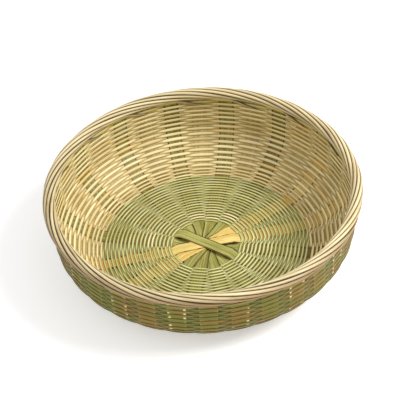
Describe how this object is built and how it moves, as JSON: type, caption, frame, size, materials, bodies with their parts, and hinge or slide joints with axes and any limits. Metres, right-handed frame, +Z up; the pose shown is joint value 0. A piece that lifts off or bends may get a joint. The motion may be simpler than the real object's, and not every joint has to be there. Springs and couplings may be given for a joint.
{
  "type": "winnowing basket",
  "caption": "Deep round bamboo basket: flat strips crossing at a hub, woven floor and wall, by-stakes and a rolled rim of twisted rods round a core.",
  "frame": {"origin": "middle of the flat underside, on the surface that the basket stands on", "axes": "+Z up along the basket's axis of symmetry, towards its open mouth; X and Y across the round basket"},
  "size_m": [0.3592, 0.3592, 0.0955],
  "materials": {
    "strip_green": "split green bamboo, satin",
    "strip_yellow": "split yellow bamboo, satin",
    "by_stake": "pale split bamboo, matte",
    "base_weave": "green split bamboo, satin",
    "wall_weave": "cream split bamboo, satin",
    "rim_rod": "pale round bamboo rod, satin",
    "rim_core": "dull brown bamboo, matte"
  },
  "bodies": {
    "root": {"base_strand_1a": "base_weave", "base_strand_1b": "base_weave", "base_strand_2a": "base_weave", "base_strand_2b": "base_weave", "base_strand_3a": "base_weave", "base_strand_3b": "base_weave", "base_strand_4a": "base_weave", "base_strand_4b": "base_weave", "base_strand_5a": "base_weave", "base_strand_5b": "base_weave", "by_stake_01": "by_stake", "by_stake_02": "by_stake", "by_stake_03": "by_stake", "by_stake_04": "by_stake", "by_stake_05": "by_stake", "by_stake_06": "by_stake", "by_stake_07": "by_stake", "by_stake_08": "by_stake", "by_stake_09": "by_stake", "by_stake_10": "by_stake", "by_stake_11": "by_stake", "by_stake_12": "by_stake", "by_stake_13": "by_stake", "by_stake_14": "by_stake", "by_stake_15": "by_stake", "by_stake_16": "by_stake", "foot_strand_1a": "wall_weave", "foot_strand_1b": "wall_weave", "main_strip_1": "strip_green", "main_strip_2": "strip_green", "main_strip_3": "strip_green", "main_strip_4": "strip_green", "main_strip_5": "strip_green", "main_strip_6": "strip_yellow", "main_strip_7": "strip_yellow", "main_strip_8": "strip_green", "rim_core": "rim_core", "rim_rod_01": "rim_rod", "rim_rod_02": "rim_rod", "rim_rod_03": "rim_rod", "rim_rod_04": "rim_rod", "rim_rod_05": "rim_rod", "rim_rod_06": "rim_rod", "rim_rod_07": "rim_rod", "rim_rod_08": "rim_rod", "rim_rod_09": "rim_rod", "rim_rod_10": "rim_rod", "rim_rod_11": "rim_rod", "rim_rod_12": "rim_rod", "rim_rod_13": "rim_rod", "rim_rod_14": "rim_rod", "rim_rod_15": "rim_rod", "rim_rod_16": "rim_rod", "wall_strand_1a": "wall_weave", "wall_strand_1b": "wall_weave", "wall_strand_2a": "wall_weave", "wall_strand_2b": "wall_weave", "wall_strand_3a": "wall_weave", "wall_strand_3b": "wall_weave"}
  },
  "joints": []
}
